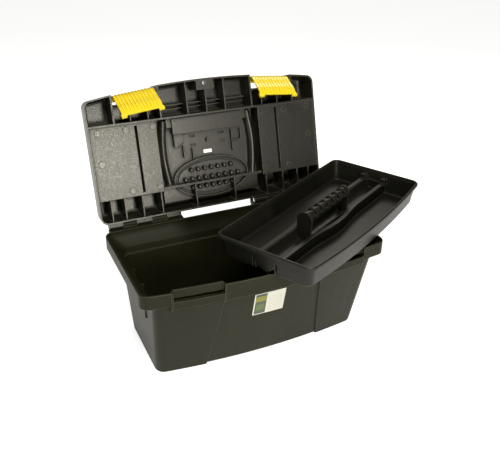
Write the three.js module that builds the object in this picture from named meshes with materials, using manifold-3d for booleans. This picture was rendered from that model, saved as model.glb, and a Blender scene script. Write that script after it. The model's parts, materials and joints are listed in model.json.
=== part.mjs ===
// A plastic toolbox with a lift-out tray, shown open, with the tray laid across the rim.
// Millimetres, +X along the box, +Y to the back, +Z up. The origin is the centre pad under the base.

import * as THREE from 'three';
import Module from 'manifold-3d';
import { mergeVertices } from 'three/addons/utils/BufferGeometryUtils.js';

const wasm = await Module();
wasm.setup();

// ---- driving dimensions -------------------------------------------------------------

const WALL = 2.5; // moulded wall thickness
const GAP = 0.3; // clearance between pieces that touch

// plan outlines: half length in X, rear and front edge in Y, bow of the front edge
const BASE = { half: 177.5, rear: 78, front: -62, bow: 12, radius: 16 };
const NECK = { half: 186, rear: 98, front: -92, bow: 14, radius: 16 };
const RIM = { half: 205, rear: 108, front: -97, bow: 15, radius: 15 };
const NECK_Z = 146; // where the wall meets the flared rim
const RIM_Z = 170.5; // top of the rim
const SKIRT_DROP = 22.5; // depth of the rim's outer skirt
const BAND_DROP = 28.5; // the front skirt is deeper than the rest
const BAND_HALF = 163;
const LEDGE_Z = 132; // where the tray sits
const CENTRE_LIFT = 2; // the middle of the base stands this far off the floor
const PANEL_STEP = 2; // the end panels of the front stand proud of the middle
const PANEL_BOTTOM_HALF = 100;
const PANEL_TOP_HALF = 80;
const FLOOR_Z = CENTRE_LIFT + WALL;

// lid, hinged at the back; its own frame has the hinge axis as origin and the lid closed
const HINGE = { y: 117, z: 174 };
const OPEN_ANGLE = THREE.MathUtils.degToRad(106);
const LID_RIM_Z = -3;
const LID_TOP_Z = 39;
const LID_PLAN = { half: 205, rear: -4.4, front: -206.4, bow: 14.5, radius: 13 };
const KNUCKLE_EDGES = [71, 94, 120, 147, 170, 194]; // each hinge has five knuckles between these
const KNUCKLE_RADIUS = 4.1;
const HINGE_PIN_RADIUS = 1.6;
const STOP_RIB_X = 68.4;

// latches, one in each notch of the lid's front
const LATCH_X = 121.5;
const LATCH_HALF = 34;
const NOTCH_HALF = 38;
const NOTCH_DEPTH_Y = -193;
const LATCH_PIVOT = { y: -204.3, z: 17 };
const LATCH_YAW = THREE.MathUtils.degToRad(5.3); // each latch follows the bow of the front
const LATCH_REST_TURN = THREE.MathUtils.degToRad(46);
const LATCH_PIN_RADIUS = 1.5;

// parts bins moulded in the top of the lid, each with a hinged cover
const BIN = { inner: 95, outer: 193, rear: -46, front: -160, floor: -1 };
const BIN_DIVIDER_X = 126.5;
const COVER_THICKNESS = 2.1;
const COVER_AXIS = { y: -44, z: 37 };

// recess for the carry handle in the middle of the lid's top
const RECESS = { half: 85.5, rear: -21, front: -159.5, floor: 21.4 };
const HANDLE_PIVOT = { y: -117, z: 30 };
const HANDLE_HALF = 79;
const HANDLE_REACH = 58;
const HANDLE_PIN_RADIUS = 3;

// tray, in a frame of its own with the bottom at z 0
const TRAY_RIM = { half: 185, rear: 87, front: -87, bow: 9.5, radius: 15 };
const TRAY_BASE = { half: 177, rear: 79.5, front: -79.5, bow: 8.5, radius: 13 };
const TRAY_HEIGHT = 38;
const TRAY_LIP_Z = 32.5;
const TRAY_WALL = 2;
const TRAY_RIB = { offset: 20, centre: -2, halfWidth: 3.5, height: 22, bulge: 7, bulgeHalf: 80 };
const TRAY_PLACE = { x: 135, y: -17, z: 174.3, turn: THREE.MathUtils.degToRad(29.3) };
const TRAY_HANDLE = { near: -66, far: 54, top: 54, halfWidth: 14, plate: 4 };
const GRIP_RINGS = 7;

// the sheet stuck on the front
const LABEL = { left: -32, right: 20.5, bottom: 91, top: 135, thickness: 0.4 };

// ---- materials ----------------------------------------------------------------------

const plastic = (color, roughness) => new THREE.MeshStandardMaterial({ color, roughness, metalness: 0 });
const BODY_PLASTIC = () => plastic(0x2c2c26, 0.55);
const LID_PLASTIC = () => plastic(0x2e2e28, 0.55);
const TRAY_PLASTIC = () => plastic(0x282824, 0.5);
const LATCH_PLASTIC = () => plastic(0xe8d41c, 0.4);
const COVER_PLASTIC = () => plastic(0x33332d, 0.45);
const PIN_STEEL = () => new THREE.MeshStandardMaterial({ color: 0x9a9a98, roughness: 0.35, metalness: 1 });
const LABEL_FILM = () => plastic(0xececdf, 0.5);

// ---- solids -------------------------------------------------------------------------

function solidFromArrays(vertices, triangles) {
  return new wasm.Manifold(new wasm.Mesh({
    numProp: 3,
    vertProperties: new Float32Array(vertices),
    triVerts: new Uint32Array(triangles),
  }));
}

function solidFromGeometry(geometry) {
  const plain = geometry.clone();
  plain.deleteAttribute('normal');
  plain.deleteAttribute('uv');
  const merged = mergeVertices(plain, 1e-4);
  return solidFromArrays(merged.attributes.position.array, merged.index.array);
}

function meshFromSolid(name, solid, material) {
  const data = solid.getMesh();
  const geometry = new THREE.BufferGeometry();
  geometry.setAttribute('position', new THREE.BufferAttribute(new Float32Array(data.vertProperties), 3));
  geometry.setIndex(new THREE.BufferAttribute(new Uint32Array(data.triVerts), 1));
  geometry.computeVertexNormals();
  const mesh = new THREE.Mesh(geometry, material);
  mesh.name = name;
  return mesh;
}

const join = (...solids) => solids.reduce((sum, solid) => sum.add(solid));
const cut = (solid, ...tools) => tools.reduce((rest, tool) => rest.subtract(tool), solid);

function block(x0, x1, y0, y1, z0, z1) {
  const geometry = new THREE.BoxGeometry(x1 - x0, y1 - y0, z1 - z0);
  geometry.translate((x0 + x1) / 2, (y0 + y1) / 2, (z0 + z1) / 2);
  return solidFromGeometry(geometry);
}

function rod(radius, x0, x1, y, z, sides = 20) {
  const geometry = new THREE.CylinderGeometry(radius, radius, x1 - x0, sides);
  geometry.rotateZ(Math.PI / 2);
  geometry.translate((x0 + x1) / 2, y, z);
  return solidFromGeometry(geometry);
}

function post(radius, x, y, z0, z1, sides = 24) {
  const geometry = new THREE.CylinderGeometry(radius, radius, z1 - z0, sides);
  geometry.rotateX(Math.PI / 2);
  geometry.translate(x, y, (z0 + z1) / 2);
  return solidFromGeometry(geometry);
}

// a flat outline swept along an axis: points are [y, z] pairs swept along X
function profileAlongX(points, x0, x1) {
  const shape = new THREE.Shape(points.map(([y, z]) => new THREE.Vector2(y, z)));
  const geometry = new THREE.ExtrudeGeometry(shape, { depth: x1 - x0, bevelEnabled: false });
  const turn = new THREE.Matrix4().makeBasis(
    new THREE.Vector3(0, 1, 0), new THREE.Vector3(0, 0, 1), new THREE.Vector3(1, 0, 0));
  geometry.applyMatrix4(turn);
  geometry.translate(x0, 0, 0);
  return solidFromGeometry(geometry);
}

// points are [x, z] pairs swept from y1 forward to y0
function profileAlongY(points, y0, y1) {
  const shape = new THREE.Shape(points.map(([x, z]) => new THREE.Vector2(x, z)));
  const geometry = new THREE.ExtrudeGeometry(shape, { depth: y1 - y0, bevelEnabled: false });
  const turn = new THREE.Matrix4().makeBasis(
    new THREE.Vector3(1, 0, 0), new THREE.Vector3(0, 0, 1), new THREE.Vector3(0, -1, 0));
  geometry.applyMatrix4(turn);
  geometry.translate(0, y1, 0);
  return solidFromGeometry(geometry);
}

// points are [x, y] pairs swept up
function profileAlongZ(points, z0, z1) {
  const shape = new THREE.Shape(points.map(([x, y]) => new THREE.Vector2(x, y)));
  const geometry = new THREE.ExtrudeGeometry(shape, { depth: z1 - z0, bevelEnabled: false });
  geometry.translate(0, 0, z0);
  return solidFromGeometry(geometry);
}

// ---- plan outlines ------------------------------------------------------------------

const CORNER_STEPS = 6;
const BOW_STEPS = 14;

function inset(plan, by) {
  return {
    half: plan.half - by,
    rear: plan.rear - by,
    front: plan.front + by,
    bow: plan.bow,
    radius: Math.max(plan.radius - by, 3),
  };
}

function between(low, high, share) {
  const mix = (key) => low[key] + (high[key] - low[key]) * share;
  return { half: mix('half'), rear: mix('rear'), front: mix('front'), bow: mix('bow'), radius: mix('radius') };
}

function cornerArc(centreX, centreY, radius, startTurn) {
  return Array.from({ length: CORNER_STEPS + 1 }, (_, i) => {
    const angle = startTurn + (i / CORNER_STEPS) * Math.PI / 2;
    return [centreX + radius * Math.cos(angle), centreY + radius * Math.sin(angle)];
  });
}

// a rounded rectangle whose front edge bows forward, counter-clockwise from above
function planOutline({ half, rear, front, bow, radius }) {
  const straight = half - radius;
  const bowPoints = Array.from({ length: BOW_STEPS - 1 }, (_, i) => {
    const x = straight * (-1 + 2 * (i + 1) / BOW_STEPS);
    return [x, front - bow * (1 - (x / straight) ** 2)];
  });
  return [
    ...cornerArc(straight, rear - radius, radius, 0),
    ...cornerArc(-straight, rear - radius, radius, Math.PI / 2),
    ...cornerArc(-straight, front + radius, radius, Math.PI),
    ...bowPoints,
    ...cornerArc(straight, front + radius, radius, 1.5 * Math.PI),
  ];
}

// a closed solid through plan outlines stacked upward
function loft(sections) {
  const rings = sections.map(({ z, plan }) => planOutline(plan).map(([x, y]) => [x, y, z]));
  const count = rings[0].length;
  const triangles = [];
  for (let level = 0; level < rings.length - 1; level += 1) {
    for (let i = 0; i < count; i += 1) {
      const a = level * count + i;
      const b = level * count + (i + 1) % count;
      triangles.push(a, b, b + count, a, b + count, a + count);
    }
  }
  const contour = (ring) => ring.map(([x, y]) => new THREE.Vector2(x, y));
  const lastStart = (rings.length - 1) * count;
  for (const [a, b, c] of THREE.ShapeUtils.triangulateShape(contour(rings[0]), [])) {
    triangles.push(a, c, b);
  }
  for (const [a, b, c] of THREE.ShapeUtils.triangulateShape(contour(rings.at(-1)), [])) {
    triangles.push(lastStart + a, lastStart + b, lastStart + c);
  }
  return solidFromArrays(rings.flat(2), triangles);
}

// a thin wall that follows the bowed front of a plan, between two insets
function bowedWall(plan, x0, x1, outerInset, innerInset, z0, z1) {
  const steps = 8;
  const edge = (by) => Array.from({ length: steps + 1 }, (_, i) => {
    const x = x0 + (x1 - x0) * i / steps;
    const straight = plan.half - plan.radius;
    return [x, plan.front + by - plan.bow * (1 - (x / straight) ** 2)];
  });
  return profileAlongZ([...edge(outerInset), ...edge(innerInset).reverse()], z0, z1);
}

// ---- box body -----------------------------------------------------------------------

const wallPlan = (z) => between(BASE, NECK, z / NECK_Z);

function lowerShell(bottomZ, proud) {
  const stand = (plan) => ({ ...plan, front: plan.front - proud });
  return loft([
    { z: bottomZ, plan: stand(inset(wallPlan(bottomZ), 3)) },
    { z: bottomZ + 1, plan: stand(inset(wallPlan(bottomZ + 1), 1)) },
    { z: bottomZ + 3.5, plan: stand(wallPlan(bottomZ + 3.5)) },
    { z: NECK_Z + 1, plan: stand(wallPlan(NECK_Z + 1)) },
  ]);
}

// the middle of the front, between the two end panels, wider at the bottom
function middlePanel() {
  const steps = 8;
  const edge = Array.from({ length: steps + 1 }, (_, i) => {
    const share = i / steps;
    const half = PANEL_BOTTOM_HALF - (PANEL_BOTTOM_HALF - PANEL_TOP_HALF) * share ** 0.85;
    return [half, -1 + (NECK_Z + 3) * share];
  });
  return profileAlongY([...edge, ...edge.map(([x, z]) => [-x, z]).reverse()], -130, -40);
}

const flareStart = inset(wallPlan(NECK_Z), WALL + 0.3);
const flareEnd = inset(RIM, 3);
const FLARE_START_Z = NECK_Z - 2;

function flareSections(grow) {
  const steps = 6;
  return Array.from({ length: steps + 1 }, (_, i) => {
    const share = i / steps;
    const z = FLARE_START_Z + (RIM_Z - FLARE_START_Z) * share;
    return { z, plan: inset(between(flareStart, flareEnd, Math.sin(share * Math.PI / 2)), -grow) };
  });
}

function boxCavity() {
  const flare = flareSections(0);
  const top = flare.at(-1);
  return loft([
    { z: FLOOR_Z, plan: inset(wallPlan(FLOOR_Z), 6) },
    { z: FLOOR_Z + 3, plan: inset(wallPlan(FLOOR_Z + 3), WALL) },
    { z: LEDGE_Z, plan: inset(wallPlan(LEDGE_Z), 5.5) },
    { z: LEDGE_Z + 0.6, plan: inset(wallPlan(LEDGE_Z), WALL + 0.3) },
    ...flare,
    { z: RIM_Z + 5, plan: top.plan },
  ]);
}

function rimSkirt() {
  const ring = (drop) => cut(
    loft([{ z: RIM_Z - drop, plan: inset(RIM, 0.8) }, { z: RIM_Z - drop + 1, plan: RIM },
      { z: RIM_Z - 1, plan: RIM }, { z: RIM_Z, plan: inset(RIM, 0.8) }]),
    loft([{ z: RIM_Z - drop - 1, plan: inset(RIM, WALL + 0.5) }, { z: RIM_Z + 1, plan: inset(RIM, WALL + 0.5) }]),
  );
  const frontBand = ring(BAND_DROP).intersect(block(-BAND_HALF, BAND_HALF, -130, -70, 100, 200));
  return join(ring(SKIRT_DROP), frontBand);
}

// where a latch comes down over the rim: a step back, a raised lip, a slot and a ledge
const LATCH_LEDGE_Z = 155;
const LIP_BOTTOM_Z = 160.5;
const LIP_TOP_Z = 173.6;

function latchRecessCut(side) {
  const x0 = side * LATCH_X - NOTCH_HALF;
  const x1 = side * LATCH_X + NOTCH_HALF;
  return bowedWall(RIM, x0, x1, -8, 6.5, LATCH_LEDGE_Z, RIM_Z + 10);
}

function latchRecessFittings(side) {
  const centre = side * LATCH_X;
  const x0 = centre - NOTCH_HALF;
  const x1 = centre + NOTCH_HALF;
  const lip = bowedWall(RIM, x0 + 1, x1 - 1, 4.2, 6.8, LIP_BOTTOM_Z, LIP_TOP_Z);
  const lipFoot = bowedWall(RIM, x0 - 1, x1 + 1, 4.2, 6.8, LIP_BOTTOM_Z, RIM_Z - 0.5);
  const ledge = bowedWall(RIM, x0 - 1, x1 + 1, 0, 6.2, LATCH_LEDGE_Z - 2.2, LATCH_LEDGE_Z);
  const cheek = (x) => {
    const straight = RIM.half - RIM.radius;
    const front = RIM.front - RIM.bow * (1 - (x / straight) ** 2);
    return profileAlongX([[front + 7, 137], [front + 7, RIM_Z], [front - 0.8, RIM_Z],
      [front - 0.8, 146], [front + 4, 137]], x - 1.3, x + 1.3);
  };
  return join(lip, lipFoot, ledge, cheek(x0 - 1.2), cheek(x1 + 1.2));
}

function padlockShelf() {
  const shelf = block(-14, 14, -110, -90, RIM_Z - 4.5, RIM_Z - 0.2);
  return cut(shelf, post(4, 0, -96, RIM_Z - 6, RIM_Z + 1));
}

// each end wall carries short ribs whose tops hold the tray
function traySupports() {
  const rib = (side, y) => {
    const inner = side > 0 ? 174.5 : -185.5;
    return profileAlongY([[inner, 96], [inner + 11, 96], [inner + 11, LEDGE_Z], [inner, LEDGE_Z]], y - 1.3, y + 1.3);
  };
  return join(...[-1, 1].flatMap((side) => [-40, -3, 44].map((y) => rib(side, y))));
}

function knuckleSpans(side, first) {
  const clearance = 0.25;
  const spans = [];
  for (let i = first; i < KNUCKLE_EDGES.length - 1; i += 2) {
    const near = KNUCKLE_EDGES[i] + clearance;
    const far = KNUCKLE_EDGES[i + 1] - clearance;
    spans.push(side > 0 ? [near, far] : [-far, -near]);
  }
  return spans;
}

function bodyKnuckles() {
  const arm = [[106, 156], [109, 156], [120.2, 171.6], [119, 174], [114, 172], [112, 170.2], [106, 170.2]];
  return join(...[-1, 1].flatMap((side) => knuckleSpans(side, 1).map(([x0, x1]) => join(
    rod(KNUCKLE_RADIUS, x0, x1, HINGE.y, HINGE.z),
    profileAlongX(arm, x0, x1),
  ))));
}

// a shelf behind the rim that closes the slot under the knuckles
function hingeShelf() {
  const outline = [[106, 162], [110, 162], [119.5, 166.3], [119.5, 168.4], [106, 170.2]];
  const near = KNUCKLE_EDGES[0];
  const far = KNUCKLE_EDGES[KNUCKLE_EDGES.length - 1];
  return join(profileAlongX(outline, near, far), profileAlongX(outline, -far, -near));
}

// ribs behind the rim that the open lid leans on
function lidStops() {
  const outline = [[106, 151], [110, 151], [125.5, 165], [128.2, 174.9], [122.9, 176.4], [121, 170.2], [106, 170.2]];
  return join(...[-1, 1].map((side) => profileAlongX(outline, side * STOP_RIB_X - 2, side * STOP_RIB_X + 2)));
}

const hingeBores = (side) => rod(HINGE_PIN_RADIUS + GAP, side * 133 - 70, side * 133 + 70, HINGE.y, HINGE.z, 16);

function boxBody() {
  const proudEnds = cut(
    lowerShell(0, PANEL_STEP),
    middlePanel(),
    block(-PANEL_BOTTOM_HALF, PANEL_BOTTOM_HALF, -130, 130, -1, CENTRE_LIFT),
  );
  const shell = join(
    proudEnds,
    lowerShell(CENTRE_LIFT, 0),
    loft(flareSections(WALL)),
    rimSkirt(),
  );
  const open = cut(shell, boxCavity(), latchRecessCut(-1), latchRecessCut(1));
  const fitted = join(
    open,
    post(22, 0, 0, 0, CENTRE_LIFT + 0.5, 32),
    latchRecessFittings(-1),
    latchRecessFittings(1),
    padlockShelf(),
    traySupports().subtract(block(-175.5, 175.5, -100, 100, 90, 97)),
    bodyKnuckles(),
    hingeShelf(),
    lidStops(),
  );
  return cut(fitted, hingeBores(-1), hingeBores(1));
}

// ---- lid ----------------------------------------------------------------------------

function lidShape(grow, bottomZ, topZ) {
  return loft([
    { z: bottomZ, plan: inset(LID_PLAN, -grow) },
    { z: topZ - 9, plan: inset(LID_PLAN, 2.2 - grow) },
    { z: topZ - 4, plan: inset(LID_PLAN, 3.4 - grow) },
    { z: topZ - 1.2, plan: inset(LID_PLAN, 5.6 - grow) },
    { z: topZ, plan: inset(LID_PLAN, 8.5 - grow) },
  ]);
}

function eachSide(make) {
  return join(make(-1), make(1));
}

const sideBlock = (side, x0, x1, y0, y1, z0, z1) => (
  side > 0 ? block(x0, x1, y0, y1, z0, z1) : block(-x1, -x0, y0, y1, z0, z1)
);

function binWalls(side) {
  return join(
    sideBlock(side, BIN.inner - WALL, 203, BIN.front - WALL, BIN.rear + WALL, BIN.floor, LID_TOP_Z),
    sideBlock(side, BIN.inner - WALL, 200, BIN.rear, BIN.rear + 8, 30, LID_TOP_Z),
  );
}

function binPockets(side) {
  const pocket = sideBlock(side, BIN.inner, BIN.outer, BIN.front, BIN.rear, BIN.floor + WALL, 60);
  const divider = sideBlock(side, BIN_DIVIDER_X - 4.5, BIN_DIVIDER_X + 4.5, BIN.front - 1, BIN.rear + 1, 0, 32);
  const coverSeat = sideBlock(side, BIN.inner - 4 - GAP, 197, BIN.front - 3.6, COVER_AXIS.y + 3.1, 36.6, 60);
  const barrelGroove = sideBlock(side, BIN.inner + 1, BIN.outer - 1, BIN.rear - 0.4, COVER_AXIS.y + 3.1, 34.6, 60);
  const grooveBelow = sideBlock(side, BIN_DIVIDER_X - 2.2, BIN_DIVIDER_X + 2.2, BIN.front + 2, BIN.rear - 2, -10, 14);
  return join(cut(pocket, divider), coverSeat, barrelGroove, grooveBelow);
}

function recessWalls() {
  return block(-RECESS.half - WALL, RECESS.half + WALL, RECESS.front - WALL, RECESS.rear + WALL,
    RECESS.floor - WALL, LID_TOP_Z);
}

const recessPocket = () => block(-RECESS.half, RECESS.half, RECESS.front, RECESS.rear, RECESS.floor, 60);

// stepped stiffening plates under the recess floor
function recessPlates() {
  const gusset = profileAlongZ([[-61, -136], [-61, -112], [-57, -112], [-45, -120], [-45, -136]], 10, 20);
  return join(
    block(-63, 63, -160, -134, 5.5, 20),
    block(-72, 72, -161.5, -146, 9, 20),
    gusset,
  );
}

function lidRibs() {
  const crossRib = block(-203, 203, -165.1, -162.1, LID_RIM_Z, 37.3);
  const frontRibs = [0, 34].map((x) => eachSide((side) => (
    block(side * x - 1, side * x + 1, -219, -163, 0, 37.2))));
  const notchRibs = [103, 132.5].map((x) => eachSide((side) => (
    block(side * x - 1, side * x + 1, NOTCH_DEPTH_Y, -163, 0, 37.2))));
  const rearRibs = [36, 98, 131, 161, 184].map((x) => eachSide((side) => (
    block(side * x - 1, side * x + 1, BIN.rear, -5.5, 0, 37.2))));
  const centreRearRib = block(-92, 92, -47, -45, 6, 20);
  return join(crossRib, centreRearRib, ...frontRibs, ...notchRibs, ...rearRibs);
}

function notchCut(side) {
  const centre = side * LATCH_X;
  return block(centre - NOTCH_HALF, centre + NOTCH_HALF, -240, NOTCH_DEPTH_Y, LID_RIM_Z - 1, 60);
}

function notchWalls(side) {
  const centre = side * LATCH_X;
  const cheek = (x) => block(x - 1.3, x + 1.3, -230, -163, LID_RIM_Z, LID_TOP_Z);
  return join(
    cheek(centre - NOTCH_HALF - 1.3),
    cheek(centre + NOTCH_HALF + 1.3),
    block(centre - NOTCH_HALF - 1, centre + NOTCH_HALF + 1, NOTCH_DEPTH_Y, NOTCH_DEPTH_Y + WALL, 10, LID_TOP_Z),
  );
}

const PADLOCK_Y = -213;

function padlockPocket() {
  return block(-13, 13, -240, PADLOCK_Y + 8, 0.5, 60);
}

function padlockWalls() {
  return join(
    block(-15.5, -13, -225, PADLOCK_Y + 8, LID_RIM_Z, LID_TOP_Z),
    block(13, 15.5, -225, PADLOCK_Y + 8, LID_RIM_Z, LID_TOP_Z),
    block(-15.5, 15.5, PADLOCK_Y + 8, PADLOCK_Y + 10.5, LID_RIM_Z, LID_TOP_Z),
    block(-15.5, 15.5, -225, PADLOCK_Y + 10.5, LID_RIM_Z, 0.5),
  );
}

function lidKnuckles() {
  const arm = [[-6, -2.9], [-3, -2.9], [1, -4], [3, 2.5], [0, 4], [-6, 9]];
  return join(...[-1, 1].flatMap((side) => knuckleSpans(side, 0).map(([x0, x1]) => join(
    rod(KNUCKLE_RADIUS, x0, x1, 0, 0),
    profileAlongX(arm, x0, x1),
  ))));
}

function handGaps() {
  const slot = (x, y) => block(x - 5, x + 5, y - 2.2, y + 2.2, 10, 20.8);
  return join(
    slot(-26, -126.5), slot(-26, -111), slot(28, -126.5), slot(28, -111),
    block(-8, 8, -100, -94, 10, 30),
  );
}

function lidShell() {
  const envelope = lidShape(0, LID_RIM_Z, LID_TOP_Z);
  const walls = cut(envelope, lidShape(-WALL, LID_RIM_Z - 1, LID_TOP_Z - WALL));
  const inside = join(
    binWalls(-1), binWalls(1), recessWalls(), recessPlates(), lidRibs(),
  ).intersect(envelope);
  const solid = cut(join(walls, inside), notchCut(-1), notchCut(1), padlockPocket());
  const fitted = join(solid, join(notchWalls(-1), notchWalls(1), padlockWalls()).intersect(envelope));
  const opened = cut(
    fitted,
    binPockets(-1), binPockets(1), recessPocket(), handGaps(),
    post(4, 0, PADLOCK_Y, LID_RIM_Z - 1, 5),
    ...[-1, 1].map((side) => latchPin(side, LATCH_PIN_RADIUS + GAP, NOTCH_HALF + 2)),
    rod(HANDLE_PIN_RADIUS + GAP, -90, 90, HANDLE_PIVOT.y, HANDLE_PIVOT.z, 20),
  );
  const hinged = join(opened, lidKnuckles());
  const bore = (side) => rod(HINGE_PIN_RADIUS + GAP, side * 133 - 70, side * 133 + 70, 0, 0, 16);
  return cut(hinged, bore(-1), bore(1));
}

// ---- latch: drawn shut, its pivot at the origin -------------------------------------

// [y, z] points down the middle of the plate, from the barrel to the finger edge
const LATCH_SPINE = [[-3, 2.2], [-8, 0.4], [-12.8, -3.6], [-16, -9.2], [-17.4, -16], [-17.9, -24],
  [-19.2, -30], [-21, -36.5], [-21, -44], [-20.2, -52.5]];
const LATCH_PLATE = 2.4;

function thickLine(points, thickness) {
  const sides = points.map(([y, z], i) => {
    const [y0, z0] = points[Math.max(i - 1, 0)];
    const [y1, z1] = points[Math.min(i + 1, points.length - 1)];
    const length = Math.hypot(y1 - y0, z1 - z0);
    const offset = [(z1 - z0) / length * thickness / 2, -(y1 - y0) / length * thickness / 2];
    return { out: [y + offset[0], z + offset[1]], back: [y - offset[0], z - offset[1]] };
  });
  return [...sides.map((side) => side.out), ...sides.map((side) => side.back).reverse()];
}

function latchSolid() {
  const plate = profileAlongX(thickLine(LATCH_SPINE, LATCH_PLATE), -LATCH_HALF, LATCH_HALF);
  const barrel = rod(3.6, -LATCH_HALF, LATCH_HALF, 0, 0, 20);
  const hook = profileAlongX([[-19.2, -31.4], [-12.4, -31.4], [-12.2, -33], [-19.4, -35.4]],
    -LATCH_HALF + 8, LATCH_HALF - 8);
  const lug = (x) => profileAlongX([[-21.2, -49.6], [-20.8, -55.5], [-17.2, -55.5], [-17.8, -49.6]], x - 4.5, x + 4.5);
  const body = join(plate, barrel, hook, lug(-LATCH_HALF + 3), lug(LATCH_HALF - 3));
  return cut(body, rod(LATCH_PIN_RADIUS + GAP, -LATCH_HALF - 1, LATCH_HALF + 1, 0, 0, 14));
}

// the pin through a latch and the notch's two cheeks, in the lid's frame
function latchPin(side, radius, reach) {
  const geometry = new THREE.CylinderGeometry(radius, radius, 2 * reach, 14);
  geometry.rotateZ(Math.PI / 2 + side * LATCH_YAW);
  geometry.translate(side * LATCH_X, LATCH_PIVOT.y, LATCH_PIVOT.z);
  return solidFromGeometry(geometry);
}

// ---- carry handle: folded flat, its pivot line at the origin ------------------------

function carryHandle() {
  const armWidth = 11;
  const arm = (side) => {
    const x0 = side > 0 ? HANDLE_HALF - armWidth : -HANDLE_HALF;
    return profileAlongX([[-6, -4.5], [-7, 0], [-6, 5], [6, 6.5], [HANDLE_REACH, 6.5],
      [HANDLE_REACH, -5.5], [6, -5.5]], x0, x0 + armWidth);
  };
  const grip = profileAlongX([[HANDLE_REACH - 11, -3], [HANDLE_REACH - 8, -6.5], [HANDLE_REACH + 6, -6.5],
    [HANDLE_REACH + 10, -2], [HANDLE_REACH + 10, 3], [HANDLE_REACH + 6, 7], [HANDLE_REACH - 8, 7],
    [HANDLE_REACH - 11, 4]], -HANDLE_HALF, HANDLE_HALF);
  return cut(join(arm(-1), arm(1), grip), rod(HANDLE_PIN_RADIUS + GAP, -90, 90, 0, 0, 20));
}

// ---- bin cover: closed, its hinge barrel at the origin ------------------------------

function binCover(side) {
  const y = (lidY) => lidY - COVER_AXIS.y;
  const top = LID_TOP_Z - COVER_AXIS.z;
  const plate = sideBlock(side, BIN.inner - 4, 196.6, y(BIN.front) - 3.2, -1.6, top - COVER_THICKNESS, top);
  const barrelStart = BIN.inner + 2;
  const barrelEnd = BIN.outer - 2;
  const barrel = side > 0 ? rod(1.9, barrelStart, barrelEnd, 0, 0, 16) : rod(1.9, -barrelEnd, -barrelStart, 0, 0, 16);
  const web = sideBlock(side, barrelStart, barrelEnd, -2.4, 0.4, top - COVER_THICKNESS, 1.6);
  const clip = sideBlock(side, 138, 152, y(BIN.front) + GAP, y(BIN.front) + 2, top - 8, top - 1);
  return join(plate, barrel, web, clip);
}

// ---- tray ---------------------------------------------------------------------------

function trayRibOutline(side, halfWidth, reach) {
  const steps = 28;
  const centreline = Array.from({ length: steps + 1 }, (_, i) => {
    const x = reach * (-1 + 2 * i / steps);
    const near = Math.abs(x - (TRAY_HANDLE.near + TRAY_HANDLE.far) / 2) / TRAY_RIB.bulgeHalf;
    const swell = near < 1 ? TRAY_RIB.bulge * Math.cos(near * Math.PI / 2) ** 2 : 0;
    return [x, TRAY_RIB.centre + side * (TRAY_RIB.offset + swell)];
  });
  const lower = centreline.map(([x, y]) => [x, y - halfWidth]);
  const upper = centreline.map(([x, y]) => [x, y + halfWidth]).reverse();
  return [...lower, ...upper];
}

function trayShell() {
  const outer = loft([
    { z: 0, plan: inset(TRAY_BASE, 2) },
    { z: 2, plan: TRAY_BASE },
    { z: TRAY_LIP_Z, plan: inset(TRAY_RIM, 4) },
    { z: TRAY_LIP_Z + 0.4, plan: TRAY_RIM },
    { z: TRAY_HEIGHT - 1.5, plan: TRAY_RIM },
    { z: TRAY_HEIGHT, plan: inset(TRAY_RIM, 1.6) },
  ]);
  const inner = loft([
    { z: TRAY_WALL, plan: inset(TRAY_BASE, 4) },
    { z: TRAY_WALL + 2, plan: inset(TRAY_BASE, TRAY_WALL) },
    { z: TRAY_LIP_Z, plan: inset(TRAY_RIM, 6) },
    { z: TRAY_HEIGHT - 1, plan: inset(TRAY_RIM, 4.2) },
    { z: TRAY_HEIGHT + 1, plan: inset(TRAY_RIM, 3.4) },
  ]);
  return { outer, inner };
}

// the round-bottomed channel between the two ribs
function trayTrough(radius, reach) {
  return rod(radius, -reach, reach, TRAY_RIB.centre, 19.5, 40).intersect(
    block(-200, 200, -30, 30, -1, 20));
}

function trayEndHorns(side) {
  const outline = [[-26, 15], [-26, 29.5], [-20.5, 29.5]];
  for (let i = 0; i <= 10; i += 1) {
    const angle = Math.PI + (i / 10) * Math.PI;
    outline.push([TRAY_RIB.centre + 15.5 * Math.cos(angle), 29.5 + 13 * Math.sin(angle)]);
  }
  outline.push([16.5, 29.5], [22, 29.5], [22, 15]);
  return side > 0 ? profileAlongX(outline, 169, 181) : profileAlongX(outline, -181, -169);
}

function trayMoulding() {
  const { outer, inner } = trayShell();
  const channel = block(-200, 200, TRAY_RIB.centre - TRAY_RIB.offset, TRAY_RIB.centre + TRAY_RIB.offset, -1, 20);
  const shell = cut(outer, inner);
  const ribs = join(...[-1, 1].map((side) => (
    profileAlongZ(trayRibOutline(side, TRAY_RIB.halfWidth, 180), 0, TRAY_RIB.height))));
  const ribHollows = join(...[-1, 1].map((side) => (
    profileAlongZ(trayRibOutline(side, TRAY_RIB.halfWidth - 1.8, 190), -1, TRAY_RIB.height - 2))));
  const handleFloor = block(-75, 65, -26, 22, 0, TRAY_WALL);
  const inside = join(
    ribs, trayTrough(17.6, 180), trayEndHorns(-1), trayEndHorns(1), handleFloor,
  ).intersect(outer);
  const troughSpace = trayTrough(15.6, 176);
  return cut(join(cut(shell, channel), inside), troughSpace, ribHollows);
}

// ---- tray handle: drawn in the tray's frame -----------------------------------------

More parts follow.
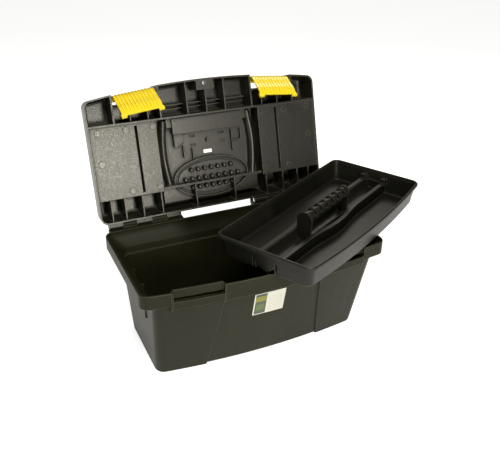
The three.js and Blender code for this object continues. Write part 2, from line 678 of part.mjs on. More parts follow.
function trayHandle() {
  const centre = TRAY_RIB.centre;
  const roundedPlate = (x0, x1, half, bottom) => {
    const outline = [[centre - 5.5, bottom], [centre - half * 0.86, bottom + 10]];
    for (let i = 0; i <= 12; i += 1) {
      const angle = Math.PI - (i / 12) * Math.PI;
      outline.push([centre + half * Math.cos(angle), TRAY_HANDLE.top - half + half * Math.sin(angle)]);
    }
    outline.push([centre + half * 0.86, bottom + 10], [centre + 5.5, bottom]);
    return profileAlongX(outline.reverse(), x0, x1);
  };
  const { near, far, plate, halfWidth, top } = TRAY_HANDLE;
  const nearPlate = roundedPlate(near - plate, near, halfWidth, 6);
  const farPlate = roundedPlate(far, far + plate, halfWidth - 3, 6);
  const bar = block(near - 1, far + 1, centre - 7.5, centre + 7.5, top - 17, top - 12);
  const spine = block(near - 1, far + 1, centre - 2, centre + 2, top - 14, top - 5);
  const pitch = (far - near - 10) / (GRIP_RINGS - 1);
  const rings = Array.from({ length: GRIP_RINGS }, (_, i) => {
    const x = near + 5 + i * pitch;
    return rod(10.5, x - 3.4, x + 3.4, centre, top - 12.5, 24).intersect(
      block(x - 4, x + 4, centre - 12, centre + 12, top - 15, top));
  });
  return join(nearPlate, farPlate, bar, spine, ...rings);
}

// ---- label --------------------------------------------------------------------------

function frontLabel() {
  const skin = (proud) => loft([
    { z: 80, plan: { ...wallPlan(80), front: wallPlan(80).front - proud } },
    { z: NECK_Z, plan: { ...wallPlan(NECK_Z), front: wallPlan(NECK_Z).front - proud } },
  ]);
  const sheet = block(LABEL.left, LABEL.right, -130, -60, LABEL.bottom, LABEL.top);
  return cut(skin(GAP + LABEL.thickness).intersect(sheet), skin(GAP));
}

// ---- assembly -----------------------------------------------------------------------

function place(mesh, x, y, z) {
  mesh.position.set(x, y, z);
  return mesh;
}

function lidAssembly() {
  const lid = new THREE.Group();
  lid.position.set(0, HINGE.y, HINGE.z);
  lid.rotation.x = -OPEN_ANGLE;
  lid.add(meshFromSolid('lid_shell', lidShell(), LID_PLASTIC()));
  const latch = latchSolid();
  for (const [side, name] of [[-1, 'left'], [1, 'right']]) {
    const mount = new THREE.Group();
    mount.position.set(side * LATCH_X, LATCH_PIVOT.y, LATCH_PIVOT.z);
    mount.rotation.z = side * LATCH_YAW;
    const latchMesh = meshFromSolid(`latch_${name}`, latch, LATCH_PLASTIC());
    latchMesh.rotation.x = LATCH_REST_TURN;
    mount.add(latchMesh);
    lid.add(mount);
    const pin = latchPin(side, LATCH_PIN_RADIUS, NOTCH_HALF + 1.7);
    lid.add(meshFromSolid(`latch_pin_${name}`, pin, PIN_STEEL()));
    const cover = meshFromSolid(`bin_cover_${name}`, binCover(side), COVER_PLASTIC());
    lid.add(place(cover, 0, COVER_AXIS.y, COVER_AXIS.z));
    const pinStart = side > 0 ? 69 : -(RECESS.half + WALL);
    const handlePin = rod(HANDLE_PIN_RADIUS, pinStart, pinStart + 19, HANDLE_PIVOT.y, HANDLE_PIVOT.z, 20);
    lid.add(meshFromSolid(`carry_handle_pin_${name}`, handlePin, PIN_STEEL()));
  }
  lid.add(place(meshFromSolid('carry_handle', carryHandle(), LID_PLASTIC()), 0, HANDLE_PIVOT.y, HANDLE_PIVOT.z));
  return lid;
}

function trayAssembly() {
  const tray = new THREE.Group();
  tray.position.set(TRAY_PLACE.x, TRAY_PLACE.y, TRAY_PLACE.z);
  tray.rotation.z = TRAY_PLACE.turn;
  tray.add(meshFromSolid('tray', trayMoulding(), TRAY_PLASTIC()));
  tray.add(meshFromSolid('tray_handle', trayHandle(), TRAY_PLASTIC()));
  return tray;
}

const toolbox = new THREE.Group();
toolbox.add(meshFromSolid('box_body', boxBody(), BODY_PLASTIC()));
toolbox.add(meshFromSolid('front_label', frontLabel(), LABEL_FILM()));
for (const [side, name] of [[-1, 'left'], [1, 'right']]) {
  const pin = rod(HINGE_PIN_RADIUS, side * 132.5 - 61, side * 132.5 + 61, HINGE.y, HINGE.z, 16);
  toolbox.add(meshFromSolid(`hinge_pin_${name}`, pin, PIN_STEEL()));
}
toolbox.add(lidAssembly());
toolbox.add(trayAssembly());

export default toolbox;
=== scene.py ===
"""An open plastic toolbox with its lift-out tray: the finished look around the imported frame."""

import json
import math

import bmesh
import bpy
from bpy.props import FloatProperty, FloatVectorProperty, IntProperty, PointerProperty
from mathutils import Matrix, Vector


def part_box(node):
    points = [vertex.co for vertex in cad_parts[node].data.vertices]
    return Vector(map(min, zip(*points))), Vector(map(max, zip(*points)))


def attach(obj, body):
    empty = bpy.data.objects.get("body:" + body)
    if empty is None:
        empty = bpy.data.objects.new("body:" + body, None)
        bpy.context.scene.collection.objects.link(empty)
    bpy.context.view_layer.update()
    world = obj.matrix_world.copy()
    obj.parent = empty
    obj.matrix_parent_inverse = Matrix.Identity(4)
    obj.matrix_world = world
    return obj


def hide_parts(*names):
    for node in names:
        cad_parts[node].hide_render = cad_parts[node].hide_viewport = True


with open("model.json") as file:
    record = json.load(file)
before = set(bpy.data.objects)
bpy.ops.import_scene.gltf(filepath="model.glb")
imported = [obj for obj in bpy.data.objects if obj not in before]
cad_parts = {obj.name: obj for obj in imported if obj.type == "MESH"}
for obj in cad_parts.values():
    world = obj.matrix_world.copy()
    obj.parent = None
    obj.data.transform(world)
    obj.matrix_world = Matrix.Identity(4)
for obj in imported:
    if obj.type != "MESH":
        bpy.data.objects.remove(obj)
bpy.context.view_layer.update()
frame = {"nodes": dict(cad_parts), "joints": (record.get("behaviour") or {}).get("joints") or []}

bl_info = {
    "name": "Toolbox With Tray",
    "version": (1, 0, 0),
    "blender": (4, 5, 0),
    "location": "3D View > Sidebar > Toolbox",
    "description": "Builds the finish of a moulded toolbox, its lid, latches and lift-out tray",
    "category": "Object",
}

MM = 0.001
LATCH_REST_TURN = math.radians(46)  # how far a latch hangs from where it stands when shut

# the grain and specks of a moulding are drawn coarser than the real ones, so that they show
SPECK_SIZE = 1.6 * MM
SCUFF_SIZE = 16 * MM
FLOW_SIZE = 45 * MM
POLYPROPYLENE_IOR = 1.49

# camera
CAMERA_SPOT = (-0.4018, -0.8489, 0.7047)
CAMERA_YAW = math.radians(25.68)
CAMERA_PITCH = math.radians(28.44)
CAMERA_ROLL = math.radians(1.22)

# room
WARM_WHITE = (1.0, 0.95, 0.82)
FLOOR_HALF = 14
FLOOR_GLOW = 0.80


# ---- places, from the frame -----------------------------------------------------------

def joint(name):
    """One joint of the frame, by name."""
    return next(j for j in frame["joints"] if j["name"] == name)


def lid_place():
    """The lid's own frame: hinge axis as origin, the lid shut, turned to where it stands open."""
    hinge = joint("lid_hinge")
    open_turn = Matrix.Rotation(-math.radians(hinge["range_deg"][1]), 4, "X")
    return Matrix.Translation(Vector(hinge["pos_m"])) @ open_turn


def latch_place(side):
    """A latch's own frame: its pin as origin, the latch shut, turned to where it hangs."""
    name = "latch_left_pivot" if side < 0 else "latch_right_pivot"
    pivot = Vector(joint(name)["pos_m"])
    swing = -Vector(joint(name)["axis"]).normalized()
    across = lid_place().to_3x3() @ Vector((0, 0, 1))
    along = across.cross(swing)
    shut = Matrix((swing, along, across)).transposed().to_4x4()
    return Matrix.Translation(pivot) @ shut @ Matrix.Rotation(LATCH_REST_TURN, 4, "X")


# ---- colours ----------------------------------------------------------------------------

def linear(hex_colour):
    """An sRGB hex colour as linear red, green and blue."""
    parts = [int(hex_colour[i:i + 2], 16) / 255 for i in (1, 3, 5)]
    return tuple(p / 12.92 if p <= 0.04045 else ((p + 0.055) / 1.055) ** 2.4 for p in parts)


def colour_property(name, description, hex_colour):
    """A colour that a user can change, given as sRGB hex."""
    return FloatVectorProperty(
        name=name, description=description, subtype="COLOR", size=3, min=0, max=1,
        default=linear(hex_colour))


class ToolboxColours(bpy.types.PropertyGroup):
    """Colours of the mouldings and the sticker."""

    body: colour_property("Body", "Charcoal of the box body", "#19190c")
    lid: colour_property("Lid", "Charcoal of the lid and the carry handle", "#17160e")
    tray: colour_property("Tray", "Charcoal of the tray and its handle", "#151511")
    latch: colour_property("Latches", "Yellow of the two latches", "#e3c80c")
    sticker: colour_property("Sticker", "Paper of the sticker", "#b4b4ac")
    floor: colour_property("Floor", "Pale floor", "#f6f6f4")


class ToolboxSizes(bpy.types.PropertyGroup):
    """Sizes of the moulded detail."""

    latch_rib_pitch: FloatProperty(
        name="Latch rib pitch", description="Distance between the ribs on a latch",
        default=5.6 * MM, unit="LENGTH")
    latch_rib_count: IntProperty(
        name="Latch ribs", description="Number of ribs on each latch", default=11, min=1)
    latch_rib_height: FloatProperty(
        name="Latch rib height", description="How far a latch rib stands proud",
        default=0.9 * MM, unit="LENGTH")
    pad_half_length: FloatProperty(
        name="Pad half length", description="Half length of the oval moulding in the lid",
        default=69 * MM, unit="LENGTH")
    pad_half_width: FloatProperty(
        name="Pad half width", description="Half width of the oval moulding in the lid",
        default=35 * MM, unit="LENGTH")
    peg_pitch: FloatProperty(
        name="Peg pitch", description="Distance between the pegs of the oval moulding",
        default=12.2 * MM, unit="LENGTH")
    peg_row_pitch: FloatProperty(
        name="Peg row pitch", description="Distance between rows of pegs",
        default=15.5 * MM, unit="LENGTH")
    corner_reach: FloatProperty(
        name="Corner reach", description="How far out of a corner the dull dust lies",
        default=8 * MM, unit="LENGTH")
    ejector_radius: FloatProperty(
        name="Ejector mark radius", description="Radius of the round ejector marks",
        default=5.2 * MM, unit="LENGTH")
    grain: FloatProperty(
        name="Grain", description="Size of the moulded grain", default=1.1 * MM, unit="LENGTH")
    edge_radius: FloatProperty(
        name="Edge radius", description="Rounding of the moulded edges",
        default=0.9 * MM, unit="LENGTH")


class ToolboxStage(bpy.types.PropertyGroup):
    """Camera and light."""

    lens: FloatProperty(name="Lens", description="Focal length on a 36 mm wide sensor", default=48.26)
    sky: FloatProperty(name="Sky", description="Brightness of the room", default=0.13)
    front_light: FloatProperty(name="Front light", description="Power of the front softbox", default=12.0)
    top_light: FloatProperty(name="Top light", description="Power of the overhead softbox", default=20.0)
    rear_light: FloatProperty(name="Rear light", description="Power of the rear softbox", default=6.0)


# ---- nodes and materials ------------------------------------------------------------------

def add_node(tree, kind, settings=None, values=None, links=None):
    """Add a node: settings are its own, values go on its inputs, links feed its inputs."""
    node = tree.nodes.new(kind)
    for name, value in (settings or {}).items():
        setattr(node, name, value)
    for key, value in (values or {}).items():
        node.inputs[key].default_value = value
    for key, source in (links or {}).items():
        tree.links.new(source, node.inputs[key])
    return node


def new_material(name):
    """An empty node material with its surface shader."""
    material = bpy.data.materials.new(name)
    material.use_nodes = True
    material.node_tree.nodes.clear()
    shader = add_node(material.node_tree, "ShaderNodeBsdfPrincipled")
    add_node(material.node_tree, "ShaderNodeOutputMaterial", links={"Surface": shader.outputs["BSDF"]})
    return material, material.node_tree, shader


def mix_colours(tree, share, first, second):
    """Two colours mixed by a share. A colour is a socket or three numbers."""
    node = add_node(tree, "ShaderNodeMix", {"data_type": "RGBA"}, links={0: share})
    for place, colour in ((6, first), (7, second)):
        if isinstance(colour, bpy.types.NodeSocket):
            tree.links.new(colour, node.inputs[place])
        else:
            node.inputs[place].default_value = (*colour, 1)
    return node.outputs[2]


def scaled(colour, factor):
    """A colour made lighter or darker, kept within what a surface can have."""
    return tuple(min(channel * factor, 0.9) for channel in colour)


def noise(tree, place, size, detail, roughness, distortion=0.0):
    """A noise of a real size, from nought to one."""
    node = add_node(
        tree, "ShaderNodeTexNoise",
        values={"Scale": 1 / size, "Detail": detail, "Roughness": roughness, "Distortion": distortion},
        links={"Vector": place})
    return node.outputs["Fac"]


def ramp(tree, value, from_low, from_high, to_low, to_high):
    """A value moved from one range to another, and held at its ends."""
    node = add_node(
        tree, "ShaderNodeMapRange",
        values={"From Min": from_low, "From Max": from_high, "To Min": to_low, "To Max": to_high},
        links={"Value": value})
    return node.outputs["Result"]


def scuff_share(tree, place):
    """Where faint drag marks lie: long thin patches."""
    stretch = add_node(
        tree, "ShaderNodeMapping", {"vector_type": "POINT"},
        values={"Rotation": (0.3, 0.2, 0.7), "Scale": (9, 0.6, 3)}, links={"Vector": place})
    scuffs = noise(tree, stretch.outputs["Vector"], SCUFF_SIZE, 6.0, 0.75)
    return ramp(tree, scuffs, 0.62, 0.78, 0.0, 0.16)


def worn_edge_and_highlight_share(tree, rounded):
    """Where an edge is rubbed pale and given a painted highlight: where its rounded normal leaves the flat
    face's own.
    """
    flat = add_node(tree, "ShaderNodeNewGeometry")
    facing = add_node(
        tree, "ShaderNodeVectorMath", {"operation": "DOT_PRODUCT"},
        links={0: rounded.outputs["Normal"], 1: flat.outputs["Normal"]})
    return ramp(tree, facing.outputs["Value"], 0.985, 0.85, 0.0, 0.9)


def moulded_roughness(tree, place, sizes, roughness):
    """A speckled sheen that turns dull in the corners, where dust stays."""
    speck = noise(tree, place, SPECK_SIZE, 4.0, 0.7)
    sheen = ramp(tree, speck, 0.3, 0.7, roughness - 0.10, roughness + 0.13)
    corner = add_node(
        tree, "ShaderNodeAmbientOcclusion", {"samples": 6}, values={"Distance": sizes.corner_reach})
    dust = ramp(tree, corner.outputs["AO"], 0.35, 0.9, 0.45, 0.0)
    rough = add_node(
        tree, "ShaderNodeMath", {"operation": "ADD", "use_clamp": True}, links={0: sheen, 1: dust})
    return rough.outputs["Value"]


def moulded_polypropylene(
        name, colour, sizes, roughness, gloss, wear_and_highlight_colour, mottle=1.35, grain_depth=0.11):
    """Injection-moulded polypropylene: a soft broad sheen, a fine grain and paler rounded edges, partly
    rubbed wear and partly a painted highlight.
    """
    material, tree, shader = new_material(name)
    place = add_node(tree, "ShaderNodeTexCoord").outputs["Object"]
    rounded = add_node(tree, "ShaderNodeBevel", {"samples": 6}, values={"Radius": sizes.edge_radius})
    flow = noise(tree, place, FLOW_SIZE, 5.0, 0.6, distortion=0.4)
    base = mix_colours(tree, flow, scaled(colour, 1 / mottle), scaled(colour, mottle))
    scuffed = mix_colours(tree, scuff_share(tree, place), base, wear_and_highlight_colour)
    # paler edges: rubbed wear and a painted highlight, the same on every rounded edge
    worn_and_highlit = mix_colours(tree, worn_edge_and_highlight_share(tree, rounded), scuffed, wear_and_highlight_colour)
    tree.links.new(worn_and_highlit, shader.inputs["Base Color"])
    tree.links.new(moulded_roughness(tree, place, sizes, roughness), shader.inputs["Roughness"])
    grain = noise(tree, place, sizes.grain, 3.0, 0.65)
    bump = add_node(
        tree, "ShaderNodeBump", values={"Strength": 0.9, "Distance": grain_depth * MM},
        links={"Height": grain, "Normal": rounded.outputs["Normal"]})
    tree.links.new(bump.outputs["Normal"], shader.inputs["Normal"])
    shader.inputs["IOR"].default_value = POLYPROPYLENE_IOR
    shader.inputs["Specular IOR Level"].default_value = gloss
    return material


def drawn_steel_wire():
    """Zinc-plated drawn wire: a grey metal with fine lines along its length."""
    material, tree, shader = new_material("drawn steel wire")
    place = add_node(tree, "ShaderNodeTexCoord").outputs["Object"]
    along = add_node(tree, "ShaderNodeMapping", values={"Scale": (0.05, 1, 1)}, links={"Vector": place})
    lines = add_node(
        tree, "ShaderNodeTexNoise", values={"Scale": 1 / (0.4 * MM), "Detail": 3.0},
        links={"Vector": along.outputs["Vector"]})
    grey = mix_colours(tree, lines.outputs["Fac"], linear("#8d8d8b"), linear("#b9b9b6"))
    tree.links.new(grey, shader.inputs["Base Color"])
    rough = add_node(
        tree, "ShaderNodeMapRange", values={"To Min": 0.28, "To Max": 0.45},
        links={"Value": lines.outputs["Fac"]})
    tree.links.new(rough.outputs["Result"], shader.inputs["Roughness"])
    shader.inputs["Metallic"].default_value = 1.0
    return material


def within(tree, value, low, high):
    """One where a value lies between two limits, and nought elsewhere."""
    above = add_node(
        tree, "ShaderNodeMath", {"operation": "GREATER_THAN"}, values={1: low}, links={0: value})
    below = add_node(
        tree, "ShaderNodeMath", {"operation": "LESS_THAN"}, values={1: high}, links={0: value})
    both = add_node(
        tree, "ShaderNodeMath", {"operation": "MULTIPLY"},
        links={0: above.outputs[0], 1: below.outputs[0]})
    return both.outputs[0]


def patch(tree, across, up, left, right, bottom, top):
    """One inside a rectangle of the sticker, in shares of its width and height."""
    both = add_node(
        tree, "ShaderNodeMath", {"operation": "MULTIPLY"},
        links={0: within(tree, across, left, right), 1: within(tree, up, bottom, top)})
    return both.outputs[0]


def printed_paper(colour):
    """A glossy paper sticker: blocks of flat ink and rows of grey bars, with no lettering."""
    material, tree, shader = new_material("printed sticker paper")
    low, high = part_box("front_label")
    place = add_node(tree, "ShaderNodeTexCoord").outputs["Object"]
    split = add_node(tree, "ShaderNodeSeparateXYZ", links={"Vector": place})
    across = add_node(
        tree, "ShaderNodeMapRange", values={"From Min": low.x, "From Max": high.x},
        links={"Value": split.outputs["X"]}).outputs["Result"]
    up = add_node(
        tree, "ShaderNodeMapRange", values={"From Min": low.z, "From Max": high.z},
        links={"Value": split.outputs["Z"]}).outputs["Result"]
    ink = mix_colours(tree, patch(tree, across, up, 0.04, 0.40, 0.03, 0.97), colour, linear("#2f3a24"))
    ink = mix_colours(tree, patch(tree, across, up, 0.04, 0.40, 0.62, 0.86), ink, linear("#6b6910"))
    ink = mix_colours(tree, patch(tree, across, up, 0.04, 0.40, 0.86, 0.97), ink, linear("#2c2f26"))
    ink = mix_colours(tree, patch(tree, across, up, 0.10, 0.34, 0.20, 0.48), ink, linear("#48531f"))
    rows = add_node(
        tree, "ShaderNodeMath", {"operation": "FRACT"},
        links={0: add_node(
            tree, "ShaderNodeMath", {"operation": "MULTIPLY"}, values={1: 11.0}, links={0: up}).outputs[0]})
    ragged = add_node(
        tree, "ShaderNodeTexNoise", values={"Scale": 1 / (5 * MM), "Detail": 1.0}, links={"Vector": place})
    bars = add_node(
        tree, "ShaderNodeMath", {"operation": "MULTIPLY"},
        links={0: within(tree, rows.outputs[0], 0.25, 0.6),
               1: within(tree, ragged.outputs["Fac"], 0.36, 1.0)})
    block = add_node(
        tree, "ShaderNodeMath", {"operation": "MULTIPLY"},
        links={0: bars.outputs[0], 1: patch(tree, across, up, 0.47, 0.92, 0.12, 0.80)})
    ink = mix_colours(tree, block.outputs[0], ink, linear("#a3a49a"))
    tree.links.new(ink, shader.inputs["Base Color"])
    shader.inputs["Roughness"].default_value = 0.35
    return material


def pale_floor(colour):
    """A seamless white studio floor, lit from within so that it stays pale to its far edge."""
    material, tree, shader = new_material("pale studio floor")
    place = add_node(tree, "ShaderNodeTexCoord").outputs["Object"]
    cloud = add_node(tree, "ShaderNodeTexNoise", values={"Scale": 1.5}, links={"Vector": place})
    tint = mix_colours(tree, cloud.outputs["Fac"], scaled(colour, 0.985), colour)
    tree.links.new(tint, shader.inputs["Base Color"])
    shader.inputs["Roughness"].default_value = 0.9
    shader.inputs["Emission Color"].default_value = (1, 1, 1, 1)
    shader.inputs["Emission Strength"].default_value = FLOOR_GLOW
    return material


# ---- mesh helpers ---------------------------------------------------------------------------

def new_piece(name, mesh, material, body):
    """Link a mesh as a finished piece that rides on a body."""
    piece = bpy.data.objects.new(name, mesh)
    bpy.context.scene.collection.objects.link(piece)
    mesh.materials.clear()
    mesh.materials.append(material)
    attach(piece, body)
    return piece


def smooth_faces(mesh, degrees=32):
    """Shade smooth, with creases kept where faces meet at more than an angle."""
    mesh.shade_smooth()
    mesh.set_sharp_from_angle(angle=math.radians(degrees))


def finish_node(node, material, body):
    """Stand a merged, flat-shaded copy in for a CAD node: its material rounds the edges."""
    mesh = frame["nodes"][node].data.copy()
    shape = bmesh.new()
    shape.from_mesh(mesh)
    bmesh.ops.remove_doubles(shape, verts=shape.verts, dist=2e-6)
    bmesh.ops.dissolve_limit(
        shape, angle_limit=math.radians(0.6), verts=shape.verts, edges=shape.edges, delimit={"NORMAL"})
    shape.to_mesh(mesh)
    shape.free()
    mesh.shade_flat()
    piece = new_piece(node + "_finish", mesh, material, body)
    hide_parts(node)
    return piece


def add_block(shape, low, high):
    """A box between two corners, in millimetres."""
    size = [b - a for a, b in zip(low, high)]
    middle = [(a + b) / 2 * MM for a, b in zip(low, high)]
    scale = Matrix.Diagonal((size[0] * MM, size[1] * MM, size[2] * MM, 1))
    bmesh.ops.create_cube(shape, size=1, matrix=Matrix.Translation(middle) @ scale)


def add_prism(shape, outline, bottom, top):
    """A closed outline of x, y points in millimetres, raised from bottom to top."""
    floor = [shape.verts.new((x * MM, y * MM, bottom * MM)) for x, y in outline]
    roof = [shape.verts.new((x * MM, y * MM, top * MM)) for x, y in outline]
    count = len(outline)
    shape.faces.new(list(reversed(floor)))
    shape.faces.new(roof)
    for i in range(count):
        k = (i + 1) % count
        shape.faces.new((floor[i], floor[k], roof[k], roof[i]))


def add_ring(shape, outer, inner, bottom, top):
    """A wall between two outlines with the same number of points."""
    count = len(outer)
    rings = []
    for outline, height in ((outer, bottom), (outer, top), (inner, top), (inner, bottom)):
        rings.append([shape.verts.new((x * MM, y * MM, height * MM)) for x, y in outline])
    for level in range(4):
        here, there = rings[level], rings[(level + 1) % 4]
        for i in range(count):
            k = (i + 1) % count
            shape.faces.new((here[i], here[k], there[k], there[i]))


def ellipse(half_x, half_y, centre_y, steps=72):
    """Points of an oval about x = 0, in millimetres."""
    turns = [2 * math.pi * i / steps for i in range(steps)]
    return [(half_x * math.cos(t), centre_y + half_y * math.sin(t)) for t in turns]


def finished_mesh(name, shape, place):
    """Turn a drawn shape into a mesh in its place, with its faces outward."""
    bmesh.ops.recalc_face_normals(shape, faces=shape.faces)
    mesh = bpy.data.meshes.new(name)
    shape.to_mesh(mesh)
    shape.free()
    mesh.transform(place)
    smooth_faces(mesh)
    return mesh


# ---- repeated detail, by geometry nodes -------------------------------------------------------

def new_geometry_tree(name, inputs):
    """A geometry node tree with named inputs. Returns the tree, its input node and its output node."""
    tree = bpy.data.node_groups.new(name, "GeometryNodeTree")
    tree.interface.new_socket("Geometry", in_out="INPUT", socket_type="NodeSocketGeometry")
    for label, kind in inputs.items():
        tree.interface.new_socket(label, in_out="INPUT", socket_type=kind)
    tree.interface.new_socket("Geometry", in_out="OUTPUT", socket_type="NodeSocketGeometry")
    return tree, add_node(tree, "NodeGroupInput"), add_node(tree, "NodeGroupOutput")


def end_tree(tree, entry, leave, instances):
    """Make instances real, give them the material input and send them out."""
    real = add_node(tree, "GeometryNodeRealizeInstances", links={"Geometry": instances})
    painted = add_node(
        tree, "GeometryNodeSetMaterial",
        links={"Geometry": real.outputs["Geometry"], "Material": entry.outputs["Material"]})
    tree.links.new(painted.outputs["Geometry"], leave.inputs["Geometry"])


def row_tree():
    """The starting mesh repeated along a straight row."""
    tree, entry, leave = new_geometry_tree("row of copies", {
        "Count": "NodeSocketInt", "Start": "NodeSocketVector", "Step": "NodeSocketVector",
        "Material": "NodeSocketMaterial"})
    line = add_node(
        tree, "GeometryNodeMeshLine", {"mode": "OFFSET"},
        links={"Count": entry.outputs["Count"], "Start Location": entry.outputs["Start"],
               "Offset": entry.outputs["Step"]})
    copies = add_node(
        tree, "GeometryNodeInstanceOnPoints",
        links={"Points": line.outputs["Mesh"], "Instance": entry.outputs["Geometry"]})
    end_tree(tree, entry, leave, copies.outputs["Instances"])
    return tree


def marks_tree():
    """A low round mark on each point of the starting mesh."""
    tree, entry, leave = new_geometry_tree("round marks", {
        "Radius": "NodeSocketFloat", "Height": "NodeSocketFloat", "Material": "NodeSocketMaterial"})
    mark = add_node(
        tree, "GeometryNodeMeshCylinder", values={"Vertices": 28},
        links={"Radius": entry.outputs["Radius"], "Depth": entry.outputs["Height"]})
    copies = add_node(
        tree, "GeometryNodeInstanceOnPoints",
        links={"Points": entry.outputs["Geometry"], "Instance": mark.outputs["Mesh"]})
    end_tree(tree, entry, leave, copies.outputs["Instances"])
    return tree


def run_tree(tree, source, inputs, place):
    """Run a tree on a mesh and return the result as a plain mesh in its place."""
    helper = bpy.data.objects.new("helper", source)
    bpy.context.scene.collection.objects.link(helper)
    modifier = helper.modifiers.new("detail", "NODES")
    modifier.node_group = tree
    sockets = {item.name: item.identifier for item in tree.interface.items_tree
               if item.in_out == "INPUT"}
    for label, value in inputs.items():
        modifier[sockets[label]] = value
    solved = helper.evaluated_get(bpy.context.evaluated_depsgraph_get())
    mesh = bpy.data.meshes.new_from_object(solved)
    bpy.data.objects.remove(helper)
    mesh.transform(place)
    smooth_faces(mesh)
    return mesh


# ---- detail of the lid ------------------------------------------------------------------------

PAD_CENTRE_Y = -54  # middle of the oval moulding, from the hinge
RECESS_UNDERSIDE = 18.9  # height of the recess floor's lower face
RECESS_SEAT = RECESS_UNDERSIDE - 0.05  # a hair below it, so that no two faces share a plane
BIN_UNDERSIDE = -1.0
PAD_TOP = 15.6
PAD_RIM_BOTTOM = 12.0
PAD_RIM_WALL = 1.8
PAD_CHANNEL = (9, 8.5)  # from the rim to the raised middle, along and across
THIN_RIB_HALF = 0.8

# the two bowed ridges beside the recess
BOWED_FRONT_Y = -158
BOWED_LENGTH = 112
BOWED_X = 76.5
BOWED_SWELL = 5.5
BOWED_HALF_WIDTH = 7.2
BOWED_DEPTH = 10.5


def oval_pad_mesh(sizes, place):
    """The oval thumb pad under the recess: a rim, a channel and a raised middle."""
    shape = bmesh.new()
    half_x = sizes.pad_half_length / MM
    half_y = sizes.pad_half_width / MM
    rim = ellipse(half_x, half_y, PAD_CENTRE_Y)
    inner = ellipse(half_x - PAD_RIM_WALL, half_y - PAD_RIM_WALL, PAD_CENTRE_Y)
    add_ring(shape, rim, inner, PAD_RIM_BOTTOM, RECESS_SEAT)
    along, across = PAD_CHANNEL
    add_prism(shape, ellipse(half_x - along, half_y - across, PAD_CENTRE_Y), PAD_TOP, RECESS_SEAT)
    return finished_mesh("oval_pad", shape, place)


def stiffener_mesh(place):
    """Thin ribs, ledges and clips on the underside of the lid, and its two bowed ridges."""
    shape = bmesh.new()
    top = RECESS_SEAT
    crown = 36.4  # just under the lid's top wall
    add_block(shape, (-92, -48.6, 6), (92, -47.2, top))
    add_block(shape, (-79, -183, 22), (79, -181.6, crown))
    add_block(shape, (-79, -176, 28), (79, -174.6, crown))
    for x, front, rear in ((-45, -112, -92), (-29, -106, -88), (45, -128, -92), (62, -128, -110)):
        add_block(shape, (x - THIN_RIB_HALF, front, 12.5), (x + THIN_RIB_HALF, rear, top))
    add_block(shape, (45, -111, 12.5), (63, -109.6, top))
    bmesh.ops.create_cone(
        shape, cap_ends=True, segments=20, radius1=2.4 * MM, radius2=3.2 * MM, depth=7 * MM,
        matrix=Matrix.Translation((0, -117 * MM, (top - 3.5) * MM)))
    for side in (-1, 1):
        add_bowed_wall(shape, side)
    return finished_mesh("lid_stiffeners", shape, place)


def add_bowed_wall(shape, side):
    """A half-round ridge that bows outward beside the parts bins."""
    steps, arc_steps = 16, 10
    rings = []
    for i in range(steps + 1):
        share = i / steps
        y = BOWED_FRONT_Y + share * BOWED_LENGTH
        x = side * (BOWED_X + BOWED_SWELL * math.sin(share * math.pi))
        ring = []
        for k in range(arc_steps + 1):
            turn = math.pi * k / arc_steps
            ring.append(shape.verts.new((
                (x + BOWED_HALF_WIDTH * math.cos(turn)) * MM,
                y * MM,
                (RECESS_SEAT - BOWED_DEPTH * math.sin(turn)) * MM)))
        rings.append(ring)
    for here, there in zip(rings, rings[1:]):
        for k in range(arc_steps):
            shape.faces.new((here[k], here[k + 1], there[k + 1], there[k]))
        shape.faces.new((here[0], there[0], there[-1], here[-1]))
    shape.faces.new(rings[0])
    shape.faces.new(list(reversed(rings[-1])))


def peg_mesh():
    """One round peg of the pad, its root at the origin and its head pointing down."""
    shape = bmesh.new()
    profile = [(3.9, 0), (3.6, -7.4), (3.1, -8.5), (1.9, -9.1)]
    steps = 18
    rings = [[shape.verts.new((r * math.cos(2 * math.pi * i / steps) * MM,
                               r * math.sin(2 * math.pi * i / steps) * MM, z * MM))
              for i in range(steps)] for r, z in profile]
    for here, there in zip(rings, rings[1:]):
        for i in range(steps):
            k = (i + 1) % steps
            shape.faces.new((here[i], there[i], there[k], here[k]))
    shape.faces.new(rings[0])
    shape.faces.new(list(reversed(rings[-1])))
    bmesh.ops.recalc_face_normals(shape, faces=shape.faces)
    mesh = bpy.data.meshes.new("peg")
    shape.to_mesh(mesh)
    shape.free()
    return mesh


def peg_rows(sizes, tree, material, place):
    """Three rows of pegs, one object for each row."""
    for name, count, row in (("outer", 7, 1), ("middle", 9, 0), ("inner", 7, -1)):
        start_x = -(count - 1) / 2 * sizes.peg_pitch
        start = (start_x, PAD_CENTRE_Y * MM - row * sizes.peg_row_pitch, (PAD_TOP + 0.1) * MM)
        mesh = run_tree(tree, peg_mesh(), {
            "Count": count, "Start": start, "Step": (sizes.peg_pitch, 0, 0), "Material": material}, place)
        new_piece(f"lid_pegs_{name}", mesh, material, "lid")


def ejector_mark_mesh(sizes, tree, material, place):
    """Round marks that the mould's ejector pins leave under the bins."""
    spots = [(191, 153), (145, 153), (99.5, 153), (191, 103), (147, 53), (99.5, 53)]
    points = [(side * (x - 2) * MM, -u * MM, (BIN_UNDERSIDE - 0.1) * MM)
              for side in (-1, 1) for x, u in spots]
    source = bpy.data.meshes.new("ejector spots")
    source.from_pydata(points, [], [])
    return run_tree(tree, source, {
        "Radius": sizes.ejector_radius, "Height": 1.0 * MM, "Material": material}, place)


# ---- detail of the latches --------------------------------------------------------------------

# y, z points down the outer face of a latch, from the barrel to the finger edge, in millimetres
LATCH_FACE = [
    (-9.2, 1.2), (-13.9, -3.0), (-17.1, -8.9), (-18.6, -16), (-19.1, -24), (-20.4, -30), (-22.2, -36.3),
    (-22.2, -44), (-21.5, -50)]
LATCH_RIB_HALF = 1.3  # half the width of a rib


